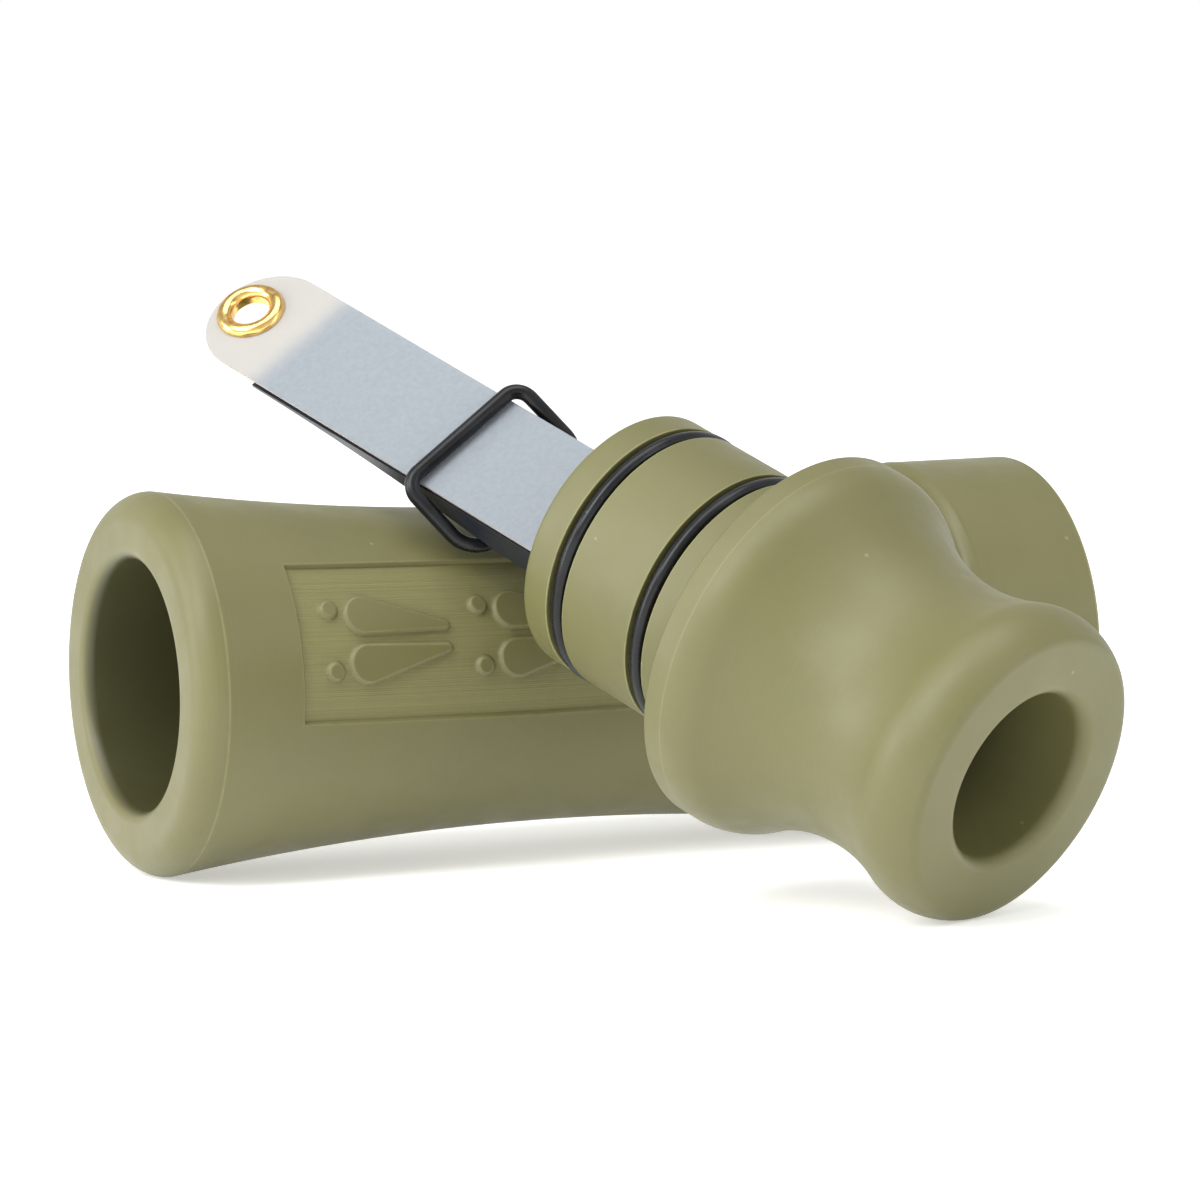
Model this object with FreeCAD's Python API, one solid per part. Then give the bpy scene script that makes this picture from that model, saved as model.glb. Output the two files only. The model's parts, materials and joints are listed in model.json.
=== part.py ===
"""Grunt tube call: a resonator barrel, with its voiced insert leaning on it.

Millimetres, +Z up. The barrel lies along +X, from its bell to its socket, with both rims on
the ground plane z = 0. The insert leans with its plug on the barrel and its mouth on the ground.
The origin is the middle of the whole object's bounding box, on the ground.
"""

import FreeCAD
import Part
import math
import os

from FreeCAD import Placement, Rotation, Vector

# ---------------------------------------------------------------- barrel
rim_radius = 22.5
barrel_length = 118.6
bell_bore_radius = 14.7
bell_inner_round = 1.6
bell_lip_round = 3.5
waist_radius = 19.0
waist_x = 50.0
bead_radius = 21.75
bead_end_x = 95.2
bead_round = 0.9
groove_radius = 19.8
groove_width = 6.0
collar_shoulder_x = 103.0
collar_shoulder_radius = 22.35
collar_shoulder_drop = 1.0
collar_shoulder_middle = (0.45, 0.35)
socket_radius = 16.0
socket_depth = 26.6
collar_chamfer = 0.3

# recessed label panel on the barrel's side
panel_start_x = 13.2
panel_length = 66.0
panel_half_height = 9.4
panel_roll_deg = 17.0
panel_depth = 0.6

# raised hoof prints in the panel: two drop-shaped toes and two dewclaws, on either side of a line
print_offsets = (6.5, 26.0, 45.5)
heel_centre = (2.1, 2.9)
heel_radius = 2.2
tip_centre = (12.6, 1.35)
tip_radius = 0.4
dewclaw_centre = (-2.2, 3.7)
dewclaw_radius = 0.95

# ---------------------------------------------------------------- mouthpiece, along its own axis
plug_radius = 15.75
plug_length = 26.3
plug_front_round = 0.8
oring_positions = {"plug_oring_front": 5.3, "plug_oring_rear": 18.0}
oring_section = 1.78
oring_proud = 0.12
oring_groove_width = 2.5
oring_seat_gap = 0.02
flange_radius = 22.3
flange_edge_round = 0.4
flange_end_x = 28.95
flange_round = 7.0
neck_x = 46.62
neck_radius = 16.4
neck_round = 22.41
lip_x = 57.3
lip_radius = 18.4
lip_round = 7.1
mouth_x = 61.9
mouth_corner_round = 1.5
mouth_radius = 9.9
mouth_inner_round = 1.6
throat_radius = 6.5
funnel_mid = (52.0, 9.1)
funnel_end_x = 43.0
seat_radius = 8.75
seat_depth = 21.0

# ---------------------------------------------------------------- toneboard, reed and their seat
toneboard_radius = 8.7
toneboard_half_width = 7.8
toneboard_tip_x = -56.3
toneboard_tip_depth = 1.0
underside_radius = 275.0
underside_start_x = -58.0
underside_crown = 0.3
channel_radius = 7.0
channel_half_width = 5.4
channel_floor = 0.7
channel_tip_x = -51.0
reed_root_x = 20.0
reed_underside = 0.65
reed_thickness = 0.35
reed_half_width = 7.75
reed_tip_x = -69.3
reed_lift_deg = 0.5
reed_gap = 0.05
wedge_clearance = 0.05
wedge_front_x = 0.8

# ---------------------------------------------------------------- eyelet
eyelet_x = -64.6
eyelet_hole_radius = 2.32
eyelet_tube_radius = 2.65
eyelet_roll_radius = 4.3
eyelet_roll_height = 1.0
eyelet_back_radius = 3.8
eyelet_back_height = 0.55
eyelet_back_flare = 1.0
eyelet_back_middle = (0.35, 0.1)
eyelet_hole_gap = 0.02

# ---------------------------------------------------------------- tuning ring
ring_section_radius = 0.9
ring_x = -26.4
ring_gap = 0.12
ring_half_width = 9.5
ring_drop = 11.75
ring_top_round = 2.2
ring_bottom_round = 3.7
ring_tilt_deg = 54.0

# ---------------------------------------------------------------- how the insert leans
insert_heading_deg = -68.33
insert_slope_deg = 22.45
insert_roll_deg = 39.3
plug_front_x = 48.15
plug_front_y = -32.19

# ---------------------------------------------------------------- cutters, larger than what they cut
cutter_half = 12.0
cutter_height = 30.0
cutter_margin = 1.0

X_AXIS = Vector(1, 0, 0)


def outline(start, *steps):
    """Closed wire in the XY plane: a step is an end point, or a (middle, end) pair for an arc."""
    edges = []
    here = Vector(start[0], start[1], 0)
    for step in steps + (start,):
        if isinstance(step[0], tuple):
            middle = Vector(step[0][0], step[0][1], 0)
            there = Vector(step[1][0], step[1][1], 0)
            edges.append(Part.Arc(here, middle, there).toShape())
        else:
            there = Vector(step[0], step[1], 0)
            if there.distanceToPoint(here) > 1e-7:
                edges.append(Part.LineSegment(here, there).toShape())
        here = there
    return Part.Wire(edges)


def on_circle(centre, radius, angle_deg):
    """Point of a circle, at an angle from +X."""
    angle = math.radians(angle_deg)
    return (centre[0] + radius * math.cos(angle), centre[1] + radius * math.sin(angle))


def turned(wire):
    """Solid of revolution about the X axis."""
    return Part.Face(wire).revolve(Vector(0, 0, 0), X_AXIS, 360)


def tube(x_start, x_end, radius):
    """Cylinder along X."""
    return Part.makeCylinder(radius, x_end - x_start, Vector(x_start, 0, 0), X_AXIS)


def block(low, high):
    """Box between two corners."""
    size = [high[i] - low[i] for i in range(3)]
    return Part.makeBox(size[0], size[1], size[2], Vector(*low))


def waist_arc(offset=0.0):
    """Middle and end of the barrel's waist, moved out by an offset."""
    return ((waist_x, waist_radius + offset), (bead_end_x - bead_round, bead_radius + offset))


# ---------------------------------------------------------------- barrel

def barrel_body():
    """Turned tube: bell lip, waist, bead, lanyard groove and socket collar."""
    inner_centre = (bell_inner_round, bell_bore_radius + bell_inner_round)
    lip_centre = (bell_lip_round, rim_radius - bell_lip_round)
    bead_centre = (bead_end_x - bead_round, bead_radius - bead_round)
    collar_start = bead_end_x + groove_width
    across, down = collar_shoulder_middle
    shoulder_middle = (collar_start + across, collar_shoulder_radius - down)
    socket_floor = barrel_length - socket_depth
    wire = outline(
        (bell_inner_round, bell_bore_radius),
        (on_circle(inner_centre, bell_inner_round, 225), (0, inner_centre[1])),
        (0, lip_centre[1]),
        (on_circle(lip_centre, bell_lip_round, 135), (bell_lip_round, rim_radius)),
        waist_arc(),
        (on_circle(bead_centre, bead_round, 45), (bead_end_x, bead_centre[1])),
        (bead_end_x, groove_radius),
        (collar_start, groove_radius),
        (collar_start, collar_shoulder_radius - collar_shoulder_drop),
        (shoulder_middle, (collar_shoulder_x, collar_shoulder_radius)),
        (barrel_length - collar_chamfer, rim_radius),
        (barrel_length, rim_radius - collar_chamfer),
        (barrel_length, socket_radius + collar_chamfer),
        (barrel_length - collar_chamfer, socket_radius),
        (socket_floor, socket_radius),
        (socket_floor, bell_bore_radius),
    )
    return turned(wire)


def waist_edge(offset):
    """Start, edge and end of the waist's outline, moved out by an offset."""
    start = Vector(bell_lip_round, rim_radius + offset, 0)
    middle, end = [Vector(x, radius, 0) for x, radius in waist_arc(offset)]
    return start, Part.Arc(start, middle, end).toShape(), end


def waist_shell(inner_offset, outer_offset):
    """Skin that follows the waist, between two offsets from its surface."""
    low_start, low_edge, low_end = waist_edge(inner_offset)
    high_start, high_edge, high_end = waist_edge(outer_offset)
    start_edge = Part.LineSegment(low_start, high_start).toShape()
    end_edge = Part.LineSegment(low_end, high_end).toShape()
    return turned(Part.Wire([low_edge, end_edge, high_edge, start_edge]))


def side_prism(face_wire):
    """Prism that stands out of the barrel's -Y side, from an outline drawn in X and Z."""
    prism = Part.Face(face_wire).extrude(Vector(0, cutter_half, 0))
    prism.translate(Vector(0, -rim_radius - cutter_margin, 0))
    return prism


def toe_wire(x, side):
    """One toe of a hoof print, round two circles and their tangents, drawn in X and Z."""
    heel = (x + heel_centre[0], side * heel_centre[1])
    tip = (x + tip_centre[0], side * tip_centre[1])
    heading = angle_between(heel, tip)
    lean = math.degrees(math.acos((heel_radius - tip_radius) / math.dist(heel, tip)))

    def at(centre, radius, angle_deg):
        across, up = on_circle(centre, radius, heading + angle_deg)
        return Vector(across, 0, up)

    heel_high, heel_low = at(heel, heel_radius, lean), at(heel, heel_radius, -lean)
    tip_high, tip_low = at(tip, tip_radius, lean), at(tip, tip_radius, -lean)
    return Part.Wire([
        Part.Arc(heel_high, at(heel, heel_radius, 180), heel_low).toShape(),
        Part.LineSegment(heel_low, tip_low).toShape(),
        Part.Arc(tip_low, at(tip, tip_radius, 0), tip_high).toShape(),
        Part.LineSegment(tip_high, heel_high).toShape(),
    ])


def dewclaw_wire(x, side):
    """The small round mark behind a toe, drawn in X and Z."""
    centre = Vector(x + dewclaw_centre[0], 0, side * dewclaw_centre[1])
    return Part.Wire(Part.Circle(centre, Vector(0, 1, 0), dewclaw_radius).toShape())


def panel_cut():
    """Shallow panel sunk into the waist, less the raised hoof prints that stay in it."""
    z = panel_half_height
    x_start = panel_start_x
    x_end = panel_start_x + panel_length
    corners = [(x_start, -z), (x_end, -z), (x_end, z), (x_start, z), (x_start, -z)]
    border = Part.makePolygon([Vector(x, 0, height) for x, height in corners])
    prism = side_prism(border)
    for offset in print_offsets:
        for side in (-1, 1):
            prism = prism.cut(side_prism(toe_wire(x_start + offset, side)))
            prism = prism.cut(side_prism(dewclaw_wire(x_start + offset, side)))
    cut = waist_shell(-panel_depth, cutter_margin).common(prism)
    cut.rotate(Vector(0, 0, 0), X_AXIS, -panel_roll_deg)
    return cut


def make_barrel():
    body = barrel_body().cut(panel_cut())
    body.translate(Vector(0, 0, rim_radius))
    return body


# ---------------------------------------------------------------- mouthpiece

def plug_grooves():
    """Outline steps of the plug's side, with a square groove for each O-ring."""
    floor = plug_radius + oring_proud - oring_section - oring_seat_gap
    steps = []
    for x in sorted(oring_positions.values()):
        low = x - oring_groove_width / 2
        high = x + oring_groove_width / 2
        steps += [(low, plug_radius), (low, floor), (high, floor), (high, plug_radius)]
    return steps


def mouth_outline():
    """Outline steps of the flared grip, from the flange to the mouth's inner edge."""
    flange_centre = (flange_end_x, flange_radius - flange_round)
    neck_centre = (neck_x, neck_radius + neck_round)
    lip_centre = (lip_x, lip_radius - lip_round)
    corner_x = mouth_x - mouth_corner_round
    reach = lip_round - mouth_corner_round
    corner_r = lip_centre[1] + math.sqrt(reach ** 2 - (corner_x - lip_x) ** 2)
    corner_centre = (corner_x, corner_r)
    down = angle_between(flange_centre, neck_centre)
    up = angle_between(lip_centre, neck_centre)
    corner = angle_between(lip_centre, corner_centre)
    neck_in = on_circle(neck_centre, neck_round, down + 180)
    neck_out = on_circle(neck_centre, neck_round, up + 180)
    lip_out = on_circle(lip_centre, lip_round, corner)
    inner_centre = (mouth_x - mouth_inner_round, mouth_radius + mouth_inner_round)
    edge_centre = (plug_length + flange_edge_round, flange_radius - flange_edge_round)
    return [
        (plug_length, plug_radius),
        (plug_length, edge_centre[1]),
        (on_circle(edge_centre, flange_edge_round, 135), (edge_centre[0], flange_radius)),
        (flange_end_x, flange_radius),
        (on_circle(flange_centre, flange_round, (90 + down) / 2), neck_in),
        ((neck_x, neck_radius), neck_out),
        (on_circle(lip_centre, lip_round, (up + corner) / 2), lip_out),
        (on_circle(corner_centre, mouth_corner_round, corner / 2), (mouth_x, corner_r)),
        (mouth_x, inner_centre[1]),
        (on_circle(inner_centre, mouth_inner_round, -45), (inner_centre[0], mouth_radius)),
    ]


def angle_between(here, there):
    """Angle in degrees of the line from one point to another."""
    return math.degrees(math.atan2(there[1] - here[1], there[0] - here[0]))


def make_mouthpiece():
    front_centre = (plug_front_round, plug_radius - plug_front_round)
    wire = outline(
        (0, seat_radius + collar_chamfer),
        (0, front_centre[1]),
        (on_circle(front_centre, plug_front_round, 135), (plug_front_round, plug_radius)),
        *plug_grooves(),
        *mouth_outline(),
        (funnel_mid, (funnel_end_x, throat_radius)),
        (seat_depth, throat_radius),
        (seat_depth, seat_radius),
        (collar_chamfer, seat_radius),
    )
    return turned(wire)


def make_plug_oring(x):
    ring_radius = plug_radius + oring_proud - oring_section / 2
    return Part.makeTorus(ring_radius, oring_section / 2, Vector(x, 0, 0), X_AXIS)


# ---------------------------------------------------------------- toneboard, reed, wedge, eyelet

def deck_cut():
    """Everything above the deck, which falls away from the reed towards the tip."""
    reach = reed_root_x - toneboard_tip_x + cutter_half
    cut = block((-reach, -cutter_half, 0), (cutter_margin, cutter_half, cutter_height))
    cut.rotate(Vector(0, 0, 0), Vector(0, 1, 0), -reed_lift_deg)
    cut.translate(Vector(reed_root_x, 0, reed_underside - reed_gap))
    return cut


def below_underside(raise_by, end_x):
    """Everything below the long, slightly crowned underside, raised by a height.

    The underside is part of a wheel's rim, whose axle runs along Y under the tip.
    """
    tip_z = reed_underside - toneboard_tip_depth + raise_by
    rim = tip_z - underside_radius
    edge = toneboard_half_width + cutter_margin
    floor = underside_radius - cutter_half
    crown = Part.Arc(
        Vector(0, -edge, underside_radius),
        Vector(0, 0, underside_radius - underside_crown),
        Vector(0, edge, underside_radius),
    ).toShape()
    corners = [(edge, underside_radius), (edge, floor), (-edge, floor), (-edge, underside_radius)]
    sides = Part.makePolygon([Vector(0, y, z) for y, z in corners])
    turn = math.degrees(math.asin((end_x - underside_start_x) / underside_radius))
    wheel = Part.Face(Part.Wire([crown] + sides.Edges))
    solid = wheel.revolve(Vector(0, 0, 0), Vector(0, 1, 0), turn)
    solid.translate(Vector(underside_start_x, 0, rim))
    return solid


def make_toneboard():
    """Trough: its round base sits in the mouthpiece, its rails carry the reed."""
    width = toneboard_half_width
    board = tube(toneboard_tip_x, reed_root_x, toneboard_radius)
    rails = block((toneboard_tip_x, -width, -cutter_half), (0, width, cutter_half))
    base = block((0, -cutter_half, -cutter_half), (reed_root_x, cutter_half, cutter_half))
    board = board.common(rails.fuse(base))
    board = board.cut(deck_cut())
    board = board.cut(below_underside(0.0, 0.0))
    half = channel_half_width
    channel_end = reed_root_x + cutter_margin
    channel = tube(channel_tip_x, channel_end, channel_radius)
    inside = block((channel_tip_x, -half, -cutter_half), (channel_end, half, cutter_half))
    channel = channel.common(inside)
    channel = channel.cut(below_underside(channel_floor, channel_end + cutter_margin))
    return board.cut(channel).removeSplitter()


def make_reed():
    """Flat strip with a round tip and the eyelet's hole."""
    tip_centre_x = reed_tip_x + reed_half_width
    strip = block(
        (tip_centre_x, -reed_half_width, reed_underside),
        (reed_root_x, reed_half_width, reed_underside + reed_thickness),
    )
    tip = Part.makeCylinder(
        reed_half_width, reed_thickness, Vector(tip_centre_x, 0, reed_underside)
    )
    hole = Part.makeCylinder(
        eyelet_tube_radius + eyelet_hole_gap, 4 * reed_thickness, Vector(eyelet_x, 0, 0)
    )
    return strip.fuse(tip).removeSplitter().cut(hole)


def make_wedge():
    """Half-moon key that holds the reed down in the seat."""
    floor = reed_underside + reed_thickness + wedge_clearance
    wedge = tube(wedge_front_x, reed_root_x, toneboard_radius)
    above = block((0, -cutter_half, floor), (reed_root_x, cutter_half, cutter_half))
    return wedge.common(above)


def make_eyelet():
    """Brass eyelet: a rolled rim on the reed, a tube through it and a flared back."""
    top = reed_underside + reed_thickness
    roll_mid = (eyelet_roll_radius + eyelet_hole_radius) / 2
    roll_half = (eyelet_roll_radius - eyelet_hole_radius) / 2
    back = reed_underside
    back_face = back - eyelet_back_height
    in_by, up_by = eyelet_back_middle
    wire = outline(
        (eyelet_hole_radius, back_face),
        (eyelet_hole_radius, top),
        ((roll_mid, top + eyelet_roll_height), (eyelet_roll_radius, top)),
        (eyelet_tube_radius, top),
        (eyelet_tube_radius, back),
        (eyelet_back_radius, back),
        (
            (eyelet_back_radius - in_by, back_face + up_by),
            (eyelet_back_radius - eyelet_back_flare, back_face),
        ),
    )
    flat = Part.Face(wire)
    solid = flat.revolve(Vector(0, 0, 0), Vector(0, 1, 0), 360)
    solid.rotate(Vector(0, 0, 0), X_AXIS, 90)
    solid.translate(Vector(eyelet_x, 0, 0))
    return solid


# ---------------------------------------------------------------- tuning ring

def ring_path():
    """Closed centre line of the ring, drawn in its Y and its drop: flat on top, round below."""
    side = ring_half_width
    top_y = side - ring_top_round
    low_y = side - ring_bottom_round
    low_z = ring_bottom_round - ring_drop
    top_right = (top_y, -ring_top_round)
    top_left = (-top_y, -ring_top_round)
    low_right = (low_y, low_z)
    low_left = (-low_y, low_z)
    return outline(
        (0, 0),
        (top_y, 0),
        (on_circle(top_right, ring_top_round, 45), (side, -ring_top_round)),
        (side, low_z),
        (on_circle(low_right, ring_bottom_round, -45), (low_y, -ring_drop)),
        (-low_y, -ring_drop),
        (on_circle(low_left, ring_bottom_round, 225), (-side, low_z)),
        (-side, -ring_top_round),
        (on_circle(top_left, ring_top_round, 135), (-top_y, 0)),
    )


def make_tuning_ring():
    """Rubber ring round the toneboard, its lower side swung towards the plug."""
    section = Part.Wire(Part.Circle(Vector(0, 0, 0), X_AXIS, ring_section_radius).toShape())
    ring = ring_path().makePipeShell([section], True, False, 2)
    ring.rotate(Vector(0, 0, 0), X_AXIS, 90)
    ring.rotate(Vector(0, 0, 0), Vector(0, 0, 1), 90)
    ring.rotate(Vector(0, 0, 0), Vector(0, 1, 0), -ring_tilt_deg)
    top = reed_underside + reed_thickness + ring_gap + ring_section_radius
    ring.translate(Vector(ring_x, 0, top))
    return ring


# ---------------------------------------------------------------- assembly

def insert_placement():
    """Where the insert leans: its axis falls towards the mouth, whose lip meets the ground."""
    slope = math.radians(insert_slope_deg)
    lip_centre_radius = lip_radius - lip_round
    height = lip_round + lip_centre_radius * math.cos(slope) + lip_x * math.sin(slope)
    heading = Rotation(Vector(0, 0, 1), insert_heading_deg)
    fall = Rotation(Vector(0, 1, 0), insert_slope_deg)
    roll = Rotation(X_AXIS, insert_roll_deg)
    turn = heading.multiply(fall).multiply(roll)
    return Placement(Vector(plug_front_x, plug_front_y, height), turn)


def make_insert():
    """The insert's pieces by node name, in the insert's own axes."""
    pieces = {"mouthpiece": make_mouthpiece()}
    for name, x in oring_positions.items():
        pieces[name] = make_plug_oring(x)
    pieces["toneboard"] = make_toneboard()
    pieces["reed"] = make_reed()
    pieces["reed_wedge"] = make_wedge()
    pieces["eyelet"] = make_eyelet()
    pieces["tuning_ring"] = make_tuning_ring()
    return pieces


def assemble():
    """All nodes in the object's frame, and the shift that centres them on the origin."""
    nodes = {"barrel": make_barrel()}
    place = insert_placement()
    for name, shape in make_insert().items():
        shape.Placement = place.multiply(shape.Placement)
        nodes[name] = shape
    box = Part.makeCompound(list(nodes.values())).optimalBoundingBox(False, False)
    shift = Vector(-(box.XMin + box.XMax) / 2, -(box.YMin + box.YMax) / 2, 0)
    for shape in nodes.values():
        shape.translate(shift)
    return nodes, shift


def main():
    os.makedirs("parts", exist_ok=True)
    nodes, shift = assemble()
    for name, shape in nodes.items():
        shape.exportStep("parts/" + name + ".step")
        print(name, "valid" if shape.isValid() else "NOT VALID", round(shape.Volume, 1), "mm3")
    print("shift", [round(value, 4) for value in shift])


main()
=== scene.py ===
"""Looks for the grunt tube call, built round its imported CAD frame.

The frame is in metres, +Z up. Outlines are written in millimetres along each piece's own axis,
as in the CAD, and the joints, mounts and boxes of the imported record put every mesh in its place.
"""

import json
import math

import bmesh
import bpy
import numpy as np
from mathutils import Matrix, Vector


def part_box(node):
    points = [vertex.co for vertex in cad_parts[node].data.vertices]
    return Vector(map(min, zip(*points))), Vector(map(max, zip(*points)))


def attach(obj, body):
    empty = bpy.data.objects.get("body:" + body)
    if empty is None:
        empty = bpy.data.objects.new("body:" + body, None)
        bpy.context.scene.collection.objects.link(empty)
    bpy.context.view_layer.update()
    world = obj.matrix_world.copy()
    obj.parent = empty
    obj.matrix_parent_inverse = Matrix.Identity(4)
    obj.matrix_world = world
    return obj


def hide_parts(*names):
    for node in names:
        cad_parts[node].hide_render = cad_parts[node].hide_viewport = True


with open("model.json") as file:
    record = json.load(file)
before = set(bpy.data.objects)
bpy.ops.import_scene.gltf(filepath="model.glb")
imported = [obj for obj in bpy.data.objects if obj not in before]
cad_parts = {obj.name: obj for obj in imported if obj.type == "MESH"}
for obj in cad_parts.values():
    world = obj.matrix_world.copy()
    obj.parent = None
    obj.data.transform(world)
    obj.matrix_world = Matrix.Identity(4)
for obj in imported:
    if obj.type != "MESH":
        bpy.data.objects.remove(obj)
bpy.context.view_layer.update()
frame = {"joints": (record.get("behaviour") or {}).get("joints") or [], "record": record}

MM = 0.001
TURN_STEPS = 256
FINE_STEP = 0.5
EDGE_ROUND = 0.13
CREASE_DEG = 7.0

# ---------------------------------------------------------------- barrel
RIM_RADIUS = 22.5
BARREL_LENGTH = 118.6
BELL_BORE = 14.7
BELL_INNER_ROUND = 1.6
BELL_LIP_ROUND = 3.5
WAIST_MIDDLE = (50.0, 19.0)
BEAD_RADIUS = 21.75
BEAD_END = 95.2
BEAD_ROUND = 0.9
GROOVE_RADIUS = 19.8
COLLAR_START = 101.2
COLLAR_SHOULDER = (103.0, 22.35)
COLLAR_SHOULDER_DROP = 1.0
COLLAR_SHOULDER_MIDDLE = (0.45, 0.35)
SOCKET_RADIUS = 16.0
SOCKET_FLOOR = 92.0
CHAMFER = 0.3

# recessed panel, and the raised hoof prints in it
PANEL_START = 13.2
PANEL_LENGTH = 66.0
PANEL_HALF_HEIGHT = 9.4
PANEL_ROLL_DEG = 17.0
PANEL_DEPTH = 0.6
PANEL_EDGE = 0.22
PRINT_OFFSETS = (6.5, 26.0, 45.5)
HEEL = (2.1, 2.9, 2.2)
TOE_TIP = (12.6, 1.35, 0.4)
DEWCLAW = (-2.2, 3.7, 0.95)
TOE_EDGE = 0.3

# mesh and edge tones of the panel: grid spacing, border widths, how strongly the borders are lightened
# (rubbed wear and painted highlight) and their feet darkened (painted shade)
PANEL_STEP = 0.2
PANEL_BORDER_LINES = (-0.3, -0.1, 0.0, 0.06, 0.12, 0.18, 0.26, 0.4)
PANEL_BORDER = 0.6
PANEL_MARGIN = 0.8
FAR_COLUMNS = 150
FAR_AWAY = 99.0
RUBBED_AND_LIT = 0.6
FOOT_SHADE = 0.45
# painted shade down the bell's bore: the width it fades in over
BORE_SHADE_FADE = 0.9

# ---------------------------------------------------------------- mouthpiece
PLUG_RADIUS = 15.75
PLUG_LENGTH = 26.3
PLUG_ROUND = 0.8
ORING_PLACES = {"plug_oring_front": 5.3, "plug_oring_rear": 18.0}
ORING_SECTION = 1.78
ORING_CENTRE_RADIUS = 14.98
GROOVE_FLOOR = 14.07
GROOVE_HALF = 1.25
FLANGE_RADIUS = 22.3
FLANGE_EDGE = 0.4
FLANGE_END = 28.95
FLANGE_ROUND = 7.0
NECK = (46.62, 16.4)
NECK_ROUND = 22.41
LIP = (57.3, 18.4)
LIP_ROUND = 7.1
MOUTH_X = 61.9
MOUTH_CORNER_ROUND = 1.5
MOUTH_RADIUS = 9.9
MOUTH_INNER_ROUND = 1.6
FUNNEL_MIDDLE = (52.0, 9.1)
FUNNEL_END = (43.0, 6.5)
# painted shade down the mouth's funnel fades in over this width
MOUTH_SHADE_FADE = 1.8
SEAT = (21.0, 8.75)

# ---------------------------------------------------------------- toneboard, reed, wedge
BOARD_RADIUS = 8.7
BOARD_HALF = 7.8
BOARD_TIP = -56.3
BOARD_TIP_DEPTH = 1.0
UNDERSIDE_RADIUS = 275.0
UNDERSIDE_START = -58.0
UNDERSIDE_CROWN = 0.3
UNDERSIDE_EDGE = 8.8
CHANNEL_RADIUS = 7.0
CHANNEL_HALF = 5.4
CHANNEL_FLOOR = 0.7
CHANNEL_TIP = -51.0
ROOT = 20.0
REED_UNDERSIDE = 0.65
REED_THICKNESS = 0.35
REED_HALF = 7.75
REED_TIP = -69.3
REED_LIFT_DEG = 0.5
REED_GAP = 0.05
REED_EDGE = 0.07
WEDGE_FRONT = 0.8
WEDGE_FLOOR = 1.05
WEDGE_EDGE = 0.25
BOARD_EDGE = 0.1

# ---------------------------------------------------------------- eyelet and tuning ring
EYELET_X = -64.6
EYELET_HOLE = 2.32
EYELET_TUBE = 2.65
EYELET_ROLL = 4.3
EYELET_BACK = 3.8
EYELET_BACK_HEIGHT = 0.55
EYELET_BACK_FLARE = 1.0
EYELET_BACK_MIDDLE = (0.35, 0.1)
EYELET_HOLE_GAP = 0.02
EYELET_STEP = 0.08
RING_SECTION = 0.9
RING_X = -26.4
RING_GAP = 0.12
RING_HALF = 9.5
RING_DROP = 11.75
RING_TOP_ROUND = 2.2
RING_BOTTOM_ROUND = 3.7
RING_TILT_DEG = 54.0

# ---------------------------------------------------------------- camera and studio
CAMERA_PLACE = (-0.27550, -0.52488, 0.08238)
CAMERA_HEADING_DEG = -26.43
CAMERA_DOWN_DEG = 4.84
CAMERA_ROLL_DEG = -0.62
CAMERA_LENS = 154.7
SENSOR_WIDTH = 36.0

# softboxes: side and height in degrees, distance and size in metres, and watts
SOFTBOXES = {
    "key": (-48, 42, 1.1, (0.55, 0.8), 8.8),
    "top": (20, 80, 1.2, (1.0, 0.8), 8.0),
    "side": (-82, 14, 1.1, (0.4, 0.7), 5.0),
    "fill": (62, 25, 1.1, (0.3, 0.8), 1.6),
}
AIM = (0, 0, 0.03)
FLOOR_HALF = 6.0
FLOOR_HEIGHT = -0.00002
FLOOR_GLOW = 0.42

# world: how high its fade starts and ends, and how bright it is below and above it
HORIZON_FADE = {"From Min": 0.25, "From Max": 0.75, "To Min": 1.0, "To Max": 0.55}


# ================================================================ outlines

def circle_through(a, b, c):
    """Centre and radius of the circle through three points of the plane."""
    matrix = 2 * np.array([b - a, c - a])
    centre = np.linalg.solve(matrix, [b @ b - a @ a, c @ c - a @ a])
    return centre, np.linalg.norm(a - centre)


def arc_points(start, middle, end, step):
    """Points of an arc, its two ends included."""
    centre, radius = circle_through(start, middle, end)
    angles = [math.atan2(*(p - centre)[::-1]) for p in (start, middle, end)]
    sweep = (angles[2] - angles[0]) % math.tau
    if (angles[1] - angles[0]) % math.tau > sweep:
        sweep -= math.tau
    count = max(math.ceil(abs(sweep) * radius / step), math.ceil(abs(sweep) / math.radians(7.5)))
    turn = angles[0] + sweep * np.linspace(0, 1, count + 1)
    return centre + radius * np.column_stack([np.cos(turn), np.sin(turn)])


def stretches(start, steps, step):
    """The outline's stretches: a step is an end point, or a (middle, end) pair for an arc."""
    lines = []
    here = np.array(start, float)
    for move in list(steps) + [start]:
        if isinstance(move[0], tuple):
            middle, there = np.array(move[0], float), np.array(move[1], float)
            lines.append(arc_points(here, middle, there, step))
        else:
            there = np.array(move, float)
            length = np.linalg.norm(there - here)
            if length < 1e-6:
                continue
            count = max(1, round(length / (4 * step)))
            lines.append(np.linspace(here, there, count + 1))
        here = there
    return lines


def cut_back(line, length):
    """The line without its last stretch of that length."""
    points = list(line)
    while len(points) > 2 and np.linalg.norm(points[-1] - points[-2]) <= length:
        length -= np.linalg.norm(points[-1] - points[-2])
        points.pop()
    reach = points[-2] - points[-1]
    share = min(0.45, length / np.linalg.norm(reach))
    points[-1] = points[-1] + reach * share
    return points


def support(line, distances):
    """The line with extra points at these distances before its end."""
    points = list(line)
    room = np.linalg.norm(points[-1] - points[-2])
    way = (points[-2] - points[-1]) / room
    extra = [points[-1] + way * d for d in sorted(distances, reverse=True) if d < 0.7 * room]
    return points[:-1] + extra + points[-1:]


def at_end(line, change, *values):
    return change(line, *values)


def at_start(line, change, *values):
    return change(line[::-1], *values)[::-1]


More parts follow.
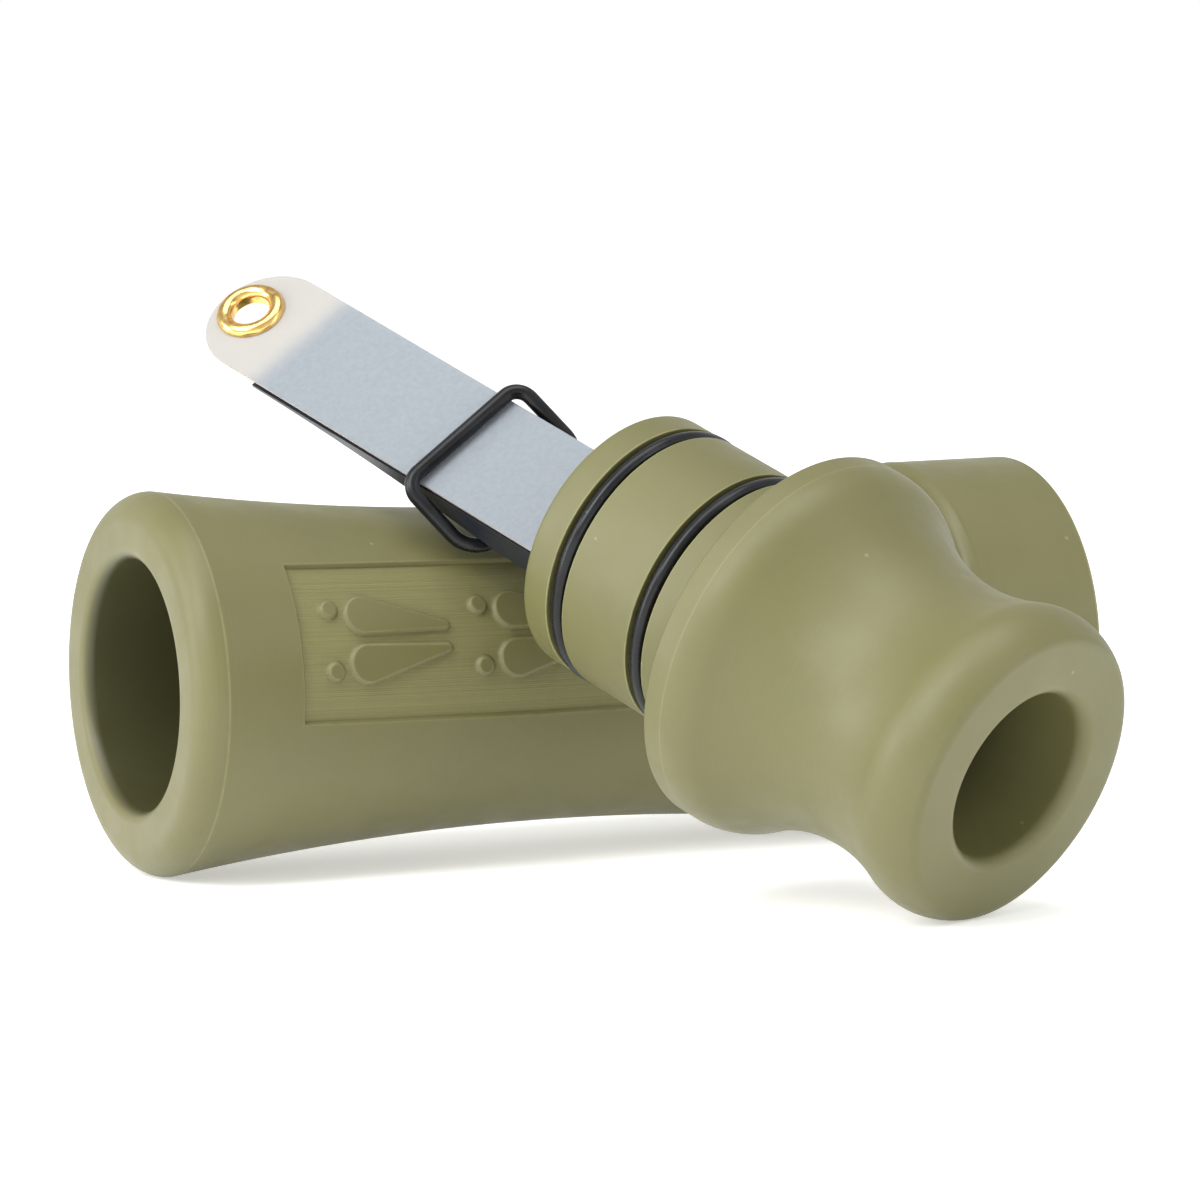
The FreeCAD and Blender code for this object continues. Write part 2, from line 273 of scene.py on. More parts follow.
def bend_deg(before, after):
    """Signed turn in degrees from one stretch to the next."""
    a = before[-1] - before[-2]
    b = after[1] - after[0]
    return math.degrees(math.atan2(a[0] * b[1] - a[1] * b[0], a @ b))


def outline(start, *steps, lines=(), step=FINE_STEP):
    """Closed outline with slightly rounded corners, as points, edge tone and length along it.

    The edge tone is lighter on convex corners, for rubbed wear and painted highlight, and darker in
    concave ones, for painted shade; lines holds end points of steps where a tangent change of
    curvature gets a painted highlight line.
    """
    parts = [list(part) for part in stretches(start, steps, step)]
    everything = np.array([p for part in parts for p in part[:-1]])
    x, r = everything.T
    side = np.sign(np.sum(x * np.roll(r, -1) - np.roll(x, -1) * r))
    count = len(parts)
    turns = [bend_deg(parts[i - 1], parts[i]) for i in range(count)]
    corners = [parts[i][0].copy() for i in range(count)]
    for i, turn in enumerate(turns):
        before, after = i - 1, i
        if abs(turn) > CREASE_DEG:
            for change, value in ((cut_back, EDGE_ROUND), (support, [0.1])):
                parts[before] = at_end(parts[before], change, value)
                parts[after] = at_start(parts[after], change, value)
        elif any(np.allclose(corners[i], line, atol=1e-3) for line in lines):
            parts[before] = at_end(parts[before], support, [0.1, 0.25])
            parts[after] = at_start(parts[after], support, [0.1, 0.25])
    points = []
    wear_and_light = []
    for i, part in enumerate(parts):
        if abs(turns[i]) > CREASE_DEG:
            a, b, c = parts[i - 1][-1], corners[i], part[0]
            # convex corners: rubbed wear and painted highlight; concave corners: painted shade
            worn = min(1.0, 0.35 + abs(turns[i]) / 110) if turns[i] * side > 0 else -0.6
            for t in (0.25, 0.5, 0.75):
                points.append((1 - t) ** 2 * a + 2 * t * (1 - t) * b + t * t * c)
                wear_and_light.append(worn)
            points += part
            wear_and_light += [worn * 0.5] + [0.0] * (len(part) - 2) + [0.0]
        else:
            points += part[1:]
            wear_and_light += [0.0] * (len(part) - 1)
        following = (i + 1) % count
        if abs(turns[following]) > CREASE_DEG:
            wear_and_light[-1] = 0.5 * np.sign(turns[following] * side)
    points = np.array(points)
    wear_and_light = np.array(wear_and_light)
    # painted highlight lines where the curvature changes
    for line in lines:
        away = np.linalg.norm(points - np.array(line), axis=1)
        wear_and_light = np.maximum(wear_and_light, 0.45 * np.clip(1 - away / 0.22, 0, 1))
    gaps = np.linalg.norm(points - np.roll(points, 1, axis=0), axis=1)
    gaps[0] = 0.0
    return points, wear_and_light, np.cumsum(gaps)


def on_circle(centre, radius, angle_deg):
    angle = math.radians(angle_deg)
    return (centre[0] + radius * math.cos(angle), centre[1] + radius * math.sin(angle))


def angle_between(here, there):
    return math.degrees(math.atan2(there[1] - here[1], there[0] - here[0]))


# ================================================================ meshes

def add_mesh(name, points, faces, place, body, nodes, slot, material, extras=None):
    """A piece from points in its own millimetres, set into the frame, riding on its body."""
    mesh = bpy.data.meshes.new(name)
    matrix = np.array(place)
    world = points * MM @ matrix[:3, :3].T + matrix[:3, 3]
    mesh.from_pydata(world.tolist(), [], faces)
    for key, values in (extras or {}).items():
        kind = "FLOAT" if values.ndim == 1 else "FLOAT_VECTOR"
        attribute = mesh.attributes.new(key, kind, "POINT")
        field = "value" if values.ndim == 1 else "vector"
        attribute.data.foreach_set(field, values.astype(np.float32).ravel())
    mesh.validate()
    outward = bmesh.new()
    outward.from_mesh(mesh)
    bmesh.ops.recalc_face_normals(outward, faces=outward.faces)
    outward.to_mesh(mesh)
    outward.free()
    mesh.shade_smooth()
    piece = bpy.data.objects.new(name, mesh)
    bpy.context.scene.collection.objects.link(piece)
    mesh.materials.append(material)
    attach(piece, body)
    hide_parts(*nodes)
    return piece


def smooth(value, low, high):
    t = np.clip((value - low) / (high - low), 0, 1)
    return t * t * (3 - 2 * t)


def ring_faces(rows, columns):
    """Quads of a grid that closes on itself both ways."""
    index = np.arange(rows * columns).reshape(rows, columns)
    right = np.roll(index, -1, axis=1)
    down = np.roll(index, -1, axis=0)
    corner = np.roll(right, -1, axis=0)
    return np.stack([index, right, corner, down], axis=-1).reshape(-1, 4).tolist()


def turned(profile, shallow=1.0, deep=0.5):
    """Points, faces and skin coordinates of a ring turned about X from a closed outline.

    Painted shade in a hole is marked from its shallow radius inwards, full at the deep one.
    """
    points, wear_and_light, along = profile
    angles = np.linspace(0, math.tau, TURN_STEPS, endpoint=False)
    x = np.repeat(points[:, 0:1], TURN_STEPS, axis=1)
    y = np.outer(points[:, 1], np.sin(angles))
    z = np.outer(points[:, 1], np.cos(angles))
    around = np.outer(points[:, 1], angles)
    grid = np.stack([x, y, z], axis=-1).reshape(-1, 3)
    spread = np.repeat(along[:, None], TURN_STEPS, axis=1)
    skin = np.stack([spread, around, x], axis=-1).reshape(-1, 3)
    bored = smooth(points[:, 1], shallow, deep)
    extras = {
        "skin": skin,
        "worn": np.repeat(wear_and_light, TURN_STEPS),
        "bored": np.repeat(bored, TURN_STEPS),
    }
    return grid, ring_faces(len(points), TURN_STEPS), extras


def finish_edges(piece, width, angle_deg=35.0):
    """Rounds the sharp edges of a piece, and keeps its flat faces flat."""
    bevel = piece.modifiers.new("edges", "BEVEL")
    bevel.width = width * MM
    bevel.segments = 3
    bevel.limit_method = "ANGLE"
    bevel.angle_limit = math.radians(angle_deg)
    weighted = piece.modifiers.new("normals", "WEIGHTED_NORMAL")
    weighted.keep_sharp = True


# ================================================================ materials

class Nodes:
    """A material's node tree, with one short call for each node."""

    def __init__(self, name):
        self.material = bpy.data.materials.new(name)
        self.material.use_nodes = True
        self.tree = self.material.node_tree
        self.surface = self.tree.nodes["Principled BSDF"]

    def add(self, kind, **values):
        node = self.tree.nodes.new("ShaderNode" + kind)
        for key, value in values.items():
            setattr(node, key, value)
        return node

    def put(self, socket, value):
        """Links a socket, or sets a plain value."""
        if isinstance(value, bpy.types.NodeSocket):
            self.tree.links.new(value, socket)
        else:
            socket.default_value = value

    def attribute(self, name):
        return self.add("Attribute", attribute_name=name)

    def math(self, operation, a, b=0.0, clamp=False):
        node = self.add("Math", operation=operation, use_clamp=clamp)
        self.put(node.inputs[0], a)
        self.put(node.inputs[1], b)
        return node.outputs[0]

    def fade(self, value, low, high, out_low=0.0, out_high=1.0):
        node = self.add("MapRange", interpolation_type="SMOOTHSTEP")
        self.put(node.inputs["Value"], value)
        limits = {"From Min": low, "From Max": high, "To Min": out_low, "To Max": out_high}
        for key, number in limits.items():
            node.inputs[key].default_value = number
        return node.outputs[0]

    def mix(self, share, a, b, blend="MIX"):
        node = self.add("Mix", data_type="RGBA", blend_type=blend)
        self.put(node.inputs["Factor"], share)
        self.put(node.inputs[6], a)
        self.put(node.inputs[7], b)
        return node.outputs[2]

    def noise(self, vector, scale, detail=3.0, rough=0.55, dimensions="3D"):
        node = self.add("TexNoise", noise_dimensions=dimensions)
        self.put(node.inputs["W" if dimensions == "1D" else "Vector"], vector)
        node.inputs["Scale"].default_value = scale
        node.inputs["Detail"].default_value = detail
        node.inputs["Roughness"].default_value = rough
        return node.outputs["Fac"]

    def specks(self, vector, scale, size, share):
        """Sparse dots: 1 inside a dot."""
        node = self.add("TexVoronoi")
        self.put(node.inputs["Vector"], vector)
        node.inputs["Scale"].default_value = scale
        dot = self.fade(node.outputs["Distance"], size * 0.4, size, 1.0, 0.0)
        tint = self.add("SeparateColor")
        self.put(tint.inputs[0], node.outputs["Color"])
        chosen = self.fade(tint.outputs[0], 1 - share, 1 - share + 0.01)
        return self.math("MULTIPLY", dot, chosen)

    def bump(self, height, strength, distance, normal=None):
        node = self.add("Bump")
        node.inputs["Strength"].default_value = strength
        node.inputs["Distance"].default_value = distance
        self.put(node.inputs["Height"], height)
        if normal is not None:
            self.put(node.inputs["Normal"], normal)
        return node.outputs["Normal"]

    def place(self):
        return self.add("TexCoord").outputs["Object"]

    def set(self, **values):
        for key, value in values.items():
            self.put(self.surface.inputs[key.replace("_", " ")], value)


def olive_polymer(name, base, warm):
    """Machined acetal: satin, fine turning marks, edges lightened by rubbed wear and painted
    highlight, painted shade in concave corners and down bores, a milled panel floor.
    """
    n = Nodes(name)
    place = n.place()
    skin = n.add("SeparateXYZ")
    n.put(skin.inputs[0], n.attribute("skin").outputs["Vector"])
    along, around = skin.outputs[0], skin.outputs[1]
    worn = n.attribute("worn").outputs["Fac"]
    milled = n.attribute("milled").outputs["Fac"]

    cloud = n.fade(n.noise(place, 45, 4), 0.3, 0.7)
    colour = n.mix(cloud, base, warm)
    mottle = n.fade(n.noise(place, 900, 2), 0.35, 0.65, 0.0, 0.5)
    colour = n.mix(mottle, colour, [c * 1.07 for c in base[:3]] + [1])
    marks = n.noise(along, 6.0, 3, 0.7, "1D")
    colour = n.mix(n.fade(marks, 0.4, 0.75, 0.0, 0.35), colour, [c * 1.12 for c in warm[:3]] + [1])
    cuts = n.noise(around, 5.5, 3, 0.8, "1D")
    milled_tone = n.fade(cuts, 0.35, 0.65, 1.2, 1.5)
    shade = n.add("CombineColor")
    for socket in shade.inputs:
        n.put(socket, milled_tone)
    colour = n.mix(milled, colour, n.mix(1.0, colour, shade.outputs[0], "MULTIPLY"))
    # edges lighter: patchy rubbed wear, with painted highlight on creases and panel borders
    patchy = n.fade(n.noise(place, 700, 3), 0.25, 0.6, 0.45, 1.0)
    rubbed_and_lit = n.math("MULTIPLY", n.fade(worn, 0.02, 0.9), patchy)
    colour = n.mix(rubbed_and_lit, colour, (0.215, 0.21, 0.088, 1))
    # painted shade in concave corners and at the feet of the panel borders
    corner_shade = n.fade(n.math("MULTIPLY", worn, -1.0), 0.02, 0.6, 0.0, 0.6)
    colour = n.mix(corner_shade, colour, [c * 0.42 for c in base[:3]] + [1])
    dots = n.specks(place, 420, 0.14, 0.05)
    colour = n.mix(n.math("MULTIPLY", dots, 0.5), colour, (0.27, 0.26, 0.15, 1))
    # painted shade down the bore and the mouth's funnel
    bored = n.math("MULTIPLY", n.attribute("bored").outputs["Fac"], 0.85)
    colour = n.mix(bored, colour, [c * 0.4 for c in base[:3]] + [1])

    grain = n.bump(n.noise(place, 5200, 2, 0.6), 0.12, 0.00003)
    rings = n.bump(marks, 0.12, 0.00004, grain)
    grooves = n.math("MULTIPLY", cuts, milled)
    rows = n.bump(grooves, 0.7, 0.00012, rings)
    n.set(Base_Color=colour, Normal=rows)
    n.set(Roughness=n.fade(n.noise(place, 160, 4), 0.3, 0.7, 0.40, 0.50))
    n.set(Specular_IOR_Level=0.42, Sheen_Weight=0.0)
    return n.material


def black_rubber():
    """Nitrile rubber: near black, a soft shine, a little dust."""
    n = Nodes("black_rubber")
    place = n.place()
    haze = n.fade(n.noise(place, 260, 4), 0.35, 0.7)
    colour = n.mix(haze, (0.004, 0.004, 0.005, 1), (0.009, 0.010, 0.012, 1))
    dots = n.specks(place, 650, 0.12, 0.07)
    colour = n.mix(n.math("MULTIPLY", dots, 0.5), colour, (0.16, 0.16, 0.15, 1))
    n.set(Base_Color=colour, Normal=n.bump(n.noise(place, 3500, 3), 0.18, 0.00003))
    n.set(Roughness=n.fade(n.noise(place, 300, 3), 0.3, 0.7, 0.24, 0.32), Specular_IOR_Level=0.30)
    return n.material


def black_polymer():
    """Moulded toneboard: blue-black, satin, with faint lines along it."""
    n = Nodes("black_polymer")
    place = n.place()
    stretched = n.add("VectorMath", operation="MULTIPLY")
    n.put(stretched.inputs[0], n.attribute("skin").outputs["Vector"])
    stretched.inputs[1].default_value = (0.05, 2.5, 2.5)
    streaks = n.noise(stretched.outputs[0], 1.6, 3)
    colour = n.mix(n.fade(streaks, 0.3, 0.7), (0.010, 0.012, 0.018, 1), (0.022, 0.026, 0.036, 1))
    dots = n.specks(place, 500, 0.11, 0.06)
    colour = n.mix(n.math("MULTIPLY", dots, 0.4), colour, (0.18, 0.18, 0.18, 1))
    n.set(Base_Color=colour, Normal=n.bump(streaks, 0.15, 0.00005))
    n.set(Roughness=n.fade(n.noise(place, 240, 3), 0.3, 0.7, 0.30, 0.40), Specular_IOR_Level=0.5)
    return n.material


def frosted_film():
    """Polyester reed: translucent, frosted by sanding, with painted shade (darker, bluer) over the
    toneboard, painted light (lighter, warmer) beyond its tip, and a painted glow on its cut sides.
    """
    n = Nodes("frosted_film")
    place = n.place()
    skin = n.add("SeparateXYZ")
    n.put(skin.inputs[0], n.attribute("skin").outputs["Vector"])
    # painted light: beyond the toneboard's tip the film is lighter and warmer, lit through from
    # behind; over the black board it is darker and bluer, painted shade
    beyond = n.fade(skin.outputs[0], BOARD_TIP - 1.5, BOARD_TIP + 3.0, 1.0, 0.0)
    frost = n.fade(n.noise(place, 1500, 4, 0.7), 0.3, 0.7)
    shaded_over_board = n.mix(frost, (0.29, 0.325, 0.36, 1), (0.335, 0.37, 0.405, 1))
    colour = n.mix(beyond, shaded_over_board, (0.48, 0.465, 0.435, 1))
    # painted glow along the strip's cut sides
    edge = n.attribute("worn").outputs["Fac"]
    colour = n.mix(n.math("MULTIPLY", edge, 0.8), colour, (0.60, 0.48, 0.38, 1))
    scratches = n.add("VectorMath", operation="MULTIPLY")
    n.put(scratches.inputs[0], n.attribute("skin").outputs["Vector"])
    scratches.inputs[1].default_value = (0.25, 4.0, 1.0)
    lines = n.noise(scratches.outputs[0], 3.0, 3)
    normal = n.bump(lines, 0.06, 0.00003, n.bump(n.noise(place, 6000, 2), 0.15, 0.00002))
    n.set(Base_Color=colour, Normal=normal)
    n.set(Roughness=n.fade(frost, 0.0, 1.0, 0.42, 0.52), IOR=1.5, Transmission_Weight=0.34)
    n.set(Specular_IOR_Level=0.35)
    return n.material


def brass():
    """Rolled brass: bright, with patches of tarnish."""
    n = Nodes("brass")
    place = n.place()
    tarnish = n.fade(n.noise(place, 900, 4), 0.42, 0.68, 0.0, 0.55)
    colour = n.mix(tarnish, (0.83, 0.56, 0.20, 1), (0.50, 0.27, 0.07, 1))
    n.set(Base_Color=colour, Metallic=1.0, Normal=n.bump(n.noise(place, 2600, 3), 0.12, 0.00005))
    n.set(Roughness=n.fade(n.noise(place, 1200, 3), 0.3, 0.7, 0.14, 0.27))
    return n.material


OLIVE_BARREL = olive_polymer("olive_barrel", (0.120, 0.116, 0.044, 1), (0.135, 0.126, 0.048, 1))
OLIVE_INSERT = olive_polymer("olive_insert", (0.119, 0.115, 0.042, 1), (0.132, 0.125, 0.048, 1))
RUBBER = black_rubber()
POLYMER = black_polymer()
FILM = frosted_film()
BRASS = brass()


# ================================================================ places from the frame

def joint(name):
    return next(j for j in frame["joints"] if j["name"] == name)


def insert_place():
    """The insert's own axes in the frame: X towards the mouth, Z out of the reed."""
    forward = -Vector(joint("toneboard_pull")["axis"]).normalized()
    across = -Vector(joint("reed_flex")["axis"]).normalized()
    up = forward.cross(across)
    root = Vector(joint("reed_flex")["pos_m"])
    origin = root - forward * ROOT * MM - up * REED_UNDERSIDE * MM
    matrix = Matrix((forward, across, up)).transposed().to_4x4()
    matrix.translation = origin
    return matrix


def barrel_place():
    low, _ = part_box("barrel")
    socket = next(m for m in frame["record"]["mounts"] if m["name"] == "barrel_socket")
    return Matrix.Translation((low.x, socket["pos_m"][1], socket["pos_m"][2]))


INSERT = insert_place()
BARREL = barrel_place()


# ================================================================ barrel

def barrel_steps():
    """The outline's start, and its steps before and after the waist."""
    inner = (BELL_INNER_ROUND, BELL_BORE + BELL_INNER_ROUND)
    lip = (BELL_LIP_ROUND, RIM_RADIUS - BELL_LIP_ROUND)
    bead = (BEAD_END - BEAD_ROUND, BEAD_RADIUS - BEAD_ROUND)
    across, down = COLLAR_SHOULDER_MIDDLE
    shoulder_middle = (COLLAR_START + across, COLLAR_SHOULDER[1] - down)
    before_waist = [
        (on_circle(inner, BELL_INNER_ROUND, 225), (0, inner[1])),
        (0, lip[1]),
        (on_circle(lip, BELL_LIP_ROUND, 135), (BELL_LIP_ROUND, RIM_RADIUS)),
    ]
    after_waist = [
        (on_circle(bead, BEAD_ROUND, 45), (BEAD_END, bead[1])),
        (BEAD_END, GROOVE_RADIUS),
        (COLLAR_START, GROOVE_RADIUS),
        (COLLAR_START, COLLAR_SHOULDER[1] - COLLAR_SHOULDER_DROP),
        (shoulder_middle, COLLAR_SHOULDER),
        (BARREL_LENGTH - CHAMFER, RIM_RADIUS),
        (BARREL_LENGTH, RIM_RADIUS - CHAMFER),
        (BARREL_LENGTH, SOCKET_RADIUS + CHAMFER),
        (BARREL_LENGTH - CHAMFER, SOCKET_RADIUS),
        (SOCKET_FLOOR, SOCKET_RADIUS),
        (SOCKET_FLOOR, BELL_BORE),
    ]
    return (BELL_INNER_ROUND, BELL_BORE), before_waist, after_waist


def drop_distance(u, v):
    """Distance outside a toe's outline, less than zero inside: two circles and their tangents."""
    length = math.dist(HEEL[:2], TOE_TIP[:2])
    way = np.subtract(TOE_TIP[:2], HEEL[:2]) / length
    ahead = (u - HEEL[0]) * way[0] + (v - HEEL[1]) * way[1]
    aside = np.abs((v - HEEL[1]) * way[0] - (u - HEEL[0]) * way[1])
    taper = (HEEL[2] - TOE_TIP[2]) / length
    level = math.sqrt(1 - taper ** 2)
    place = level * ahead - taper * aside
    between = level * aside + taper * ahead - HEEL[2]
    at_heel = np.hypot(ahead, aside) - HEEL[2]
    at_tip = np.hypot(ahead - length, aside) - TOE_TIP[2]
    return np.where(place < 0, at_heel, np.where(place > level * length, at_tip, between))


def print_distance(x, z):
    """Distance outside the nearest mark of the hoof prints, less than zero inside."""
    nearest = np.full(x.shape, FAR_AWAY)
    for offset in PRINT_OFFSETS:
        u = x - PANEL_START - offset
        v = np.abs(z)
        dewclaw = np.hypot(u - DEWCLAW[0], v - DEWCLAW[1]) - DEWCLAW[2]
        nearest = np.minimum(nearest, np.minimum(drop_distance(u, v), dewclaw))
    return nearest


def refined(low, high, step):
    """Even spacing between two panel borders, with close lines at each border."""
    close = np.array(PANEL_BORDER_LINES)
    count = round((high - low - 2 * PANEL_BORDER) / step) + 1
    inner = np.linspace(low + PANEL_BORDER, high - PANEL_BORDER, count)
    return np.concatenate([low + close, inner, (high - close)[::-1]])


CREASE = (BELL_LIP_ROUND, RIM_RADIUS)
WAIST_END = (BEAD_END - BEAD_ROUND, BEAD_RADIUS)
PANEL_END = PANEL_START + PANEL_LENGTH


def waist_radius(x):
    """Radius of the waist, whose outline is one arc."""
    centre, radius = circle_through(*[np.array(p) for p in (CREASE, WAIST_MIDDLE, WAIST_END)])
    return centre[1] - np.sqrt(radius ** 2 - (x - centre[0]) ** 2)


def barrel_profile():
    """The barrel's outline, with close points along the panel, and its edge tones (rubbed wear,
    painted highlight and painted shade) and length.
    """
    start, before, after = barrel_steps()
    waist = (WAIST_MIDDLE, WAIST_END)
    points, wear_and_light, _ = outline(start, *before, waist, *after, lines=[WAIST_END])
    x = points[:, 0]
    on_waist = np.abs(points[:, 1] - waist_radius(np.clip(x, 0, BEAD_END))) < 0.01
    in_panel = on_waist & (x > PANEL_START - PANEL_MARGIN) & (x < PANEL_END + PANEL_MARGIN)
    first, last = np.flatnonzero(in_panel)[[0, -1]]
    stations = refined(PANEL_START, PANEL_END, PANEL_STEP)
    fine = np.column_stack([stations, waist_radius(stations)])
    points = np.vstack([points[:first], fine, points[last + 1:]])
    wear_and_light = np.concatenate([wear_and_light[:first], np.zeros(len(fine)), wear_and_light[last + 1:]])
    along = np.concatenate([[0], np.cumsum(np.linalg.norm(np.diff(points, axis=0), axis=1))])
    return points, wear_and_light, along


def near(distance, centre, width):
    """1 where a distance has a value, fading to 0 at a width from it."""
    return np.clip(1 - np.abs(distance - centre) / width, 0, 1)


def panel_light_and_wear(wear_and_light, inset, toe, outside):
    """The turned outline's edge tones, with the panel's borders lightened by rubbed wear and painted
    highlight, and painted shade at their feet.
    """
    inside = inset > 0
    border = near(inset, -0.03, 0.16)
    toe_rim = near(toe, -0.05, 0.24) * inside
    foot = near(inset, PANEL_EDGE, 0.16)
    toe_foot = near(toe, TOE_EDGE, 0.2) * inside
    rubbed_and_lit = wear_and_light[:, None] + RUBBED_AND_LIT * np.maximum(border, toe_rim) * outside
    return rubbed_and_lit - FOOT_SHADE * np.maximum(foot, toe_foot) * outside * (rubbed_and_lit < 0.05)


def barrel_columns(reference, heights):
    """Angles round the barrel: fine across the panel, even round the rest of the turn."""
    near_panel = np.arcsin(heights[None, :] / reference[:, None])
    edge = np.arcsin(heights[-1] / reference)
    share = np.linspace(0, 1, FAR_COLUMNS)[1:-1]
    rest = edge[:, None] + (math.tau - 2 * edge[:, None]) * share[None, :]
    return np.hstack([near_panel, rest])


def make_barrel():
    points, wear_and_light, along = barrel_profile()
    heights = refined(-PANEL_HALF_HEIGHT, PANEL_HALF_HEIGHT, PANEL_STEP)
    waist = waist_radius(np.clip(points[:, 0], CREASE[0], WAIST_END[0]))
    reference = np.where(points[:, 0] < CREASE[0], RIM_RADIUS, waist)
    angles = barrel_columns(reference, heights)
    columns = angles.shape[1]

    x = np.repeat(points[:, 0:1], columns, axis=1)
    z = np.full(x.shape, FAR_AWAY)
    z[:, : len(heights)] = heights[None, :]
    outside = np.repeat((np.abs(points[:, 1] - reference) < 0.02)[:, None], columns, axis=1)
    inset = np.minimum(np.minimum(x - PANEL_START, PANEL_END - x), PANEL_HALF_HEIGHT - np.abs(z))
    toe = print_distance(x, z)
    floor = smooth(inset, 0, PANEL_EDGE) * smooth(toe, 0, TOE_EDGE) * outside
    r = points[:, 1:2] - PANEL_DEPTH * floor

    turn = angles + math.radians(PANEL_ROLL_DEG)
    grid = np.stack([x, -r * np.cos(turn), r * np.sin(turn)], axis=-1).reshape(-1, 3)
    spread = np.repeat(along[:, None], columns, axis=1)
    skin = np.stack([spread, reference[:, None] * angles, x], axis=-1).reshape(-1, 3)
    # painted shade down the bell's bore
    bored = smooth(points[:, 1:2], BELL_BORE + BORE_SHADE_FADE, BELL_BORE)
    extras = {
        "skin": skin,
        "worn": panel_light_and_wear(wear_and_light, inset, toe, outside).ravel(),
        "milled": floor.ravel(),
        "bored": np.repeat(bored, columns, axis=1).ravel(),
    }
    faces = ring_faces(len(points), columns)
    kind = ("olive_polymer", OLIVE_BARREL)
    add_mesh("barrel_turned", grid, faces, BARREL, "barrel", ["barrel"], *kind, extras)


# ================================================================ mouthpiece and its seals

def groove_steps(x):
    """Steps of one seal's square groove in the plug."""
    low, high = x - GROOVE_HALF, x + GROOVE_HALF
    return [
        (low, PLUG_RADIUS),
        (low, GROOVE_FLOOR),
        (high, GROOVE_FLOOR),
        (high, PLUG_RADIUS),
    ]


def mouthpiece_outline():
    front = (PLUG_ROUND, PLUG_RADIUS - PLUG_ROUND)
    grooves = []
    for x in ORING_PLACES.values():
        grooves += groove_steps(x)
    flange = (FLANGE_END, FLANGE_RADIUS - FLANGE_ROUND)
    neck = (NECK[0], NECK[1] + NECK_ROUND)
    lip = (LIP[0], LIP[1] - LIP_ROUND)
    corner_x = MOUTH_X - MOUTH_CORNER_ROUND
    reach = LIP_ROUND - MOUTH_CORNER_ROUND
    corner = (corner_x, lip[1] + math.sqrt(reach ** 2 - (corner_x - LIP[0]) ** 2))
    down = angle_between(flange, neck)
    up = angle_between(lip, neck)
    out = angle_between(lip, corner)
    neck_in = on_circle(neck, NECK_ROUND, down + 180)
    neck_out = on_circle(neck, NECK_ROUND, up + 180)
    inner = (MOUTH_X - MOUTH_INNER_ROUND, MOUTH_RADIUS + MOUTH_INNER_ROUND)
    edge = (PLUG_LENGTH + FLANGE_EDGE, FLANGE_RADIUS - FLANGE_EDGE)
    flange_line = (FLANGE_END, FLANGE_RADIUS)
    return outline(
        (0, SEAT[1] + CHAMFER),
        (0, front[1]),
        (on_circle(front, PLUG_ROUND, 135), (PLUG_ROUND, PLUG_RADIUS)),
        *grooves,
        (PLUG_LENGTH, PLUG_RADIUS),
        (PLUG_LENGTH, edge[1]),
        (on_circle(edge, FLANGE_EDGE, 135), (edge[0], FLANGE_RADIUS)),
        flange_line,
        (on_circle(flange, FLANGE_ROUND, (90 + down) / 2), neck_in),
        (NECK, neck_out),
        (on_circle(lip, LIP_ROUND, (up + out) / 2), on_circle(lip, LIP_ROUND, out)),
        (on_circle(corner, MOUTH_CORNER_ROUND, out / 2), (MOUTH_X, corner[1])),
        (MOUTH_X, inner[1]),
        (on_circle(inner, MOUTH_INNER_ROUND, -45), (inner[0], MOUTH_RADIUS)),
        (FUNNEL_MIDDLE, FUNNEL_END),
        (SEAT[0], FUNNEL_END[1]),
        SEAT,
        (CHAMFER, SEAT[1]),
        lines=[flange_line],
    )


def make_mouthpiece():
    # painted shade down the mouth's funnel, from the mouth's radius inwards
    grid, faces, extras = turned(mouthpiece_outline(), MOUTH_RADIUS, MOUTH_RADIUS - MOUTH_SHADE_FADE)
    kind = ("olive_polymer", OLIVE_INSERT)
    add_mesh("mouthpiece_turned", grid, faces, INSERT, "insert", ["mouthpiece"], *kind, extras)


def round_section(centre_x, centre_r, radius, count=40):
    turn = np.linspace(0, math.tau, count, endpoint=False)
    points = np.column_stack([centre_x + radius * np.cos(turn), centre_r + radius * np.sin(turn)])
    return points, np.zeros(count), radius * turn


def make_orings():
    for name, x in ORING_PLACES.items():
        grid, faces, extras = turned(round_section(x, ORING_CENTRE_RADIUS, ORING_SECTION / 2))
        add_mesh(name + "_seal", grid, faces, INSERT, "insert", [name], "black_rubber", RUBBER, extras)


# ================================================================ toneboard, wedge and reed

def deck_height(x):
    return REED_UNDERSIDE - REED_GAP - (ROOT - x) * math.tan(math.radians(REED_LIFT_DEG))


def underside(x, y):
    """Height of the long crowned underside, which is part of a wheel's rim."""
    rim = UNDERSIDE_RADIUS - UNDERSIDE_CROWN * (1 - (y / UNDERSIDE_EDGE) ** 2)
    axle = REED_UNDERSIDE - BOARD_TIP_DEPTH - UNDERSIDE_RADIUS
    return axle + math.sqrt(rim ** 2 - (x - UNDERSIDE_START) ** 2)


def board_section(x, half, whole, open_channel):
    """Closed section: the outside from one rail round to the other, then the channel."""
    deck = deck_height(x)
    points = []
    for y in half * np.cos(np.linspace(0, math.pi, 41)):
        bottom = -math.sqrt(max(0.0, BOARD_RADIUS ** 2 - y * y))
        points.append((y, bottom if whole else max(bottom, underside(x, y))))
    points[0:0] = [(half, deck), (half, (deck + points[0][1]) / 2)]
    points += [(-half, (deck + points[-1][1]) / 2), (-half, deck)]
    points += [(-CHANNEL_HALF, deck)]
    for y in -CHANNEL_HALF * np.cos(np.linspace(0, math.pi, 31)):
        floor = max(-math.sqrt(CHANNEL_RADIUS ** 2 - y * y), underside(x, y) + CHANNEL_FLOOR)
        points.append((y, floor if open_channel else deck))
    points.append((CHANNEL_HALF, deck))
    return [(x, y, z) for y, z in points]


